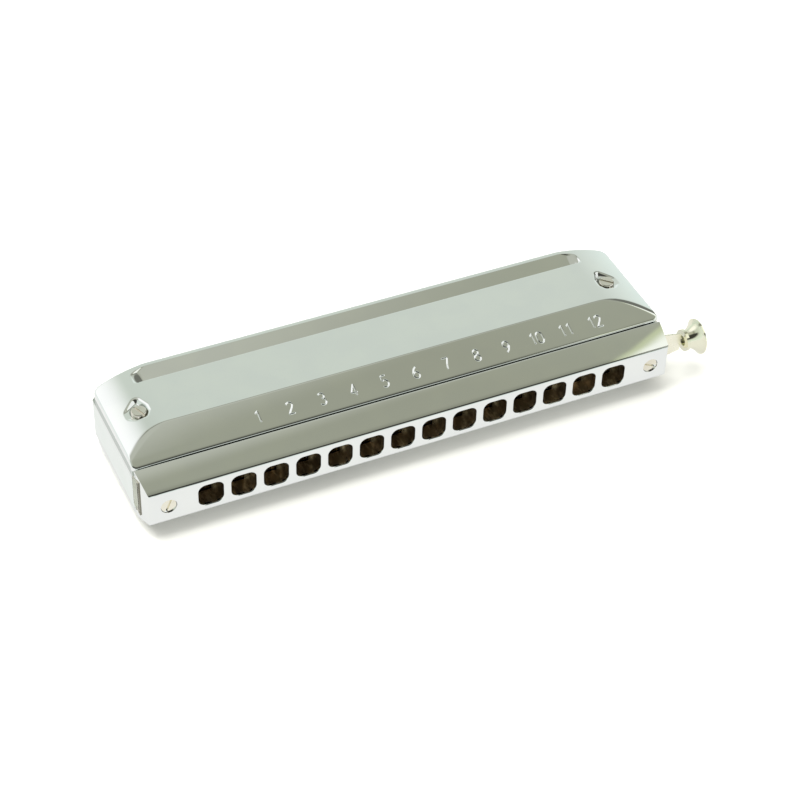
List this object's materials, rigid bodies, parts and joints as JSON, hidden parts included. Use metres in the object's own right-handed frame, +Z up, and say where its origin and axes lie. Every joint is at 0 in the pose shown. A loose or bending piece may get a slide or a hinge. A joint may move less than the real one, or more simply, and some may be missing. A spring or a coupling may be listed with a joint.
{
  "type": "chromatic harmonica",
  "caption": "Long, slim metal mouth organ with a row of square blow holes, polished numbered covers and a trumpet-shaped slide button at the right end.",
  "frame": {"origin": "centre of the lower cover's flat face, on which the harmonica rests, in line with the middle of the row of holes", "axes": "+X along the body towards the slide button, +Y from the mouthpiece towards the open rear, +Z up through the numbered upper cover"},
  "size_m": [0.175, 0.0448, 0.0248],
  "materials": {
    "cover_chrome": "polished chrome plate",
    "mouthpiece_chrome": "polished chrome plate",
    "screw_nickel": "bright nickel plate",
    "front_screw_nickel": "bright pale nickel plate",
    "post_brass": "turned, unplated",
    "plated_brass": "brass sheet, bright plated all over",
    "reed_brass": "milled, bright",
    "rivet_brass": "upset heads, satin",
    "valve_film": "thin translucent film",
    "comb_metal": "polished and bright plated ends",
    "cage_steel": "thin rolled strip",
    "slide_nickel": "pale champagne nickel plate",
    "sleeve_rubber": "soft black tube",
    "button_nickel": "turned, champagne nickel plate",
    "spring_steel": "drawn spring wire",
    "pin_steel": "turned, bright"
  },
  "bodies": {
    "body": {"upper_cover": "cover_chrome", "lower_cover": "cover_chrome", "upper_cover_screws": "screw_nickel", "lower_cover_screws": "screw_nickel", "upper_cover_posts": "post_brass", "lower_cover_posts": "post_brass", "upper_reed_plate": "plated_brass", "lower_reed_plate": "plated_brass", "upper_plate_screws": "screw_nickel", "lower_plate_screws": "screw_nickel", "upper_draw_reeds": "reed_brass", "lower_draw_reeds": "reed_brass", "upper_blow_reeds": "reed_brass", "lower_blow_reeds": "reed_brass", "upper_reed_rivets": "rivet_brass", "lower_reed_rivets": "rivet_brass", "upper_outer_valves": "valve_film", "lower_outer_valves": "valve_film", "upper_inner_valves": "valve_film", "lower_inner_valves": "valve_film", "comb": "comb_metal", "mouthpiece": "mouthpiece_chrome", "mouthpiece_screws": "front_screw_nickel", "slide_front_plate": "cage_steel", "slide_rear_plate": "cage_steel", "slide_stop_sleeves": "sleeve_rubber", "slide_spring": "spring_steel", "spring_pin": "pin_steel"},
    "slide": {"slide": "slide_nickel", "slide_button": "button_nickel"}
  },
  "joints": [
    {"name": "slide_press", "type": "slide", "parent": "body", "child": "slide", "axis": [-1, 0, 0], "range_m": [0, 0.00475], "stiffness_N_per_m": 200, "springref_m": -0.006, "deforming": ["slide_spring"]}
  ]
}
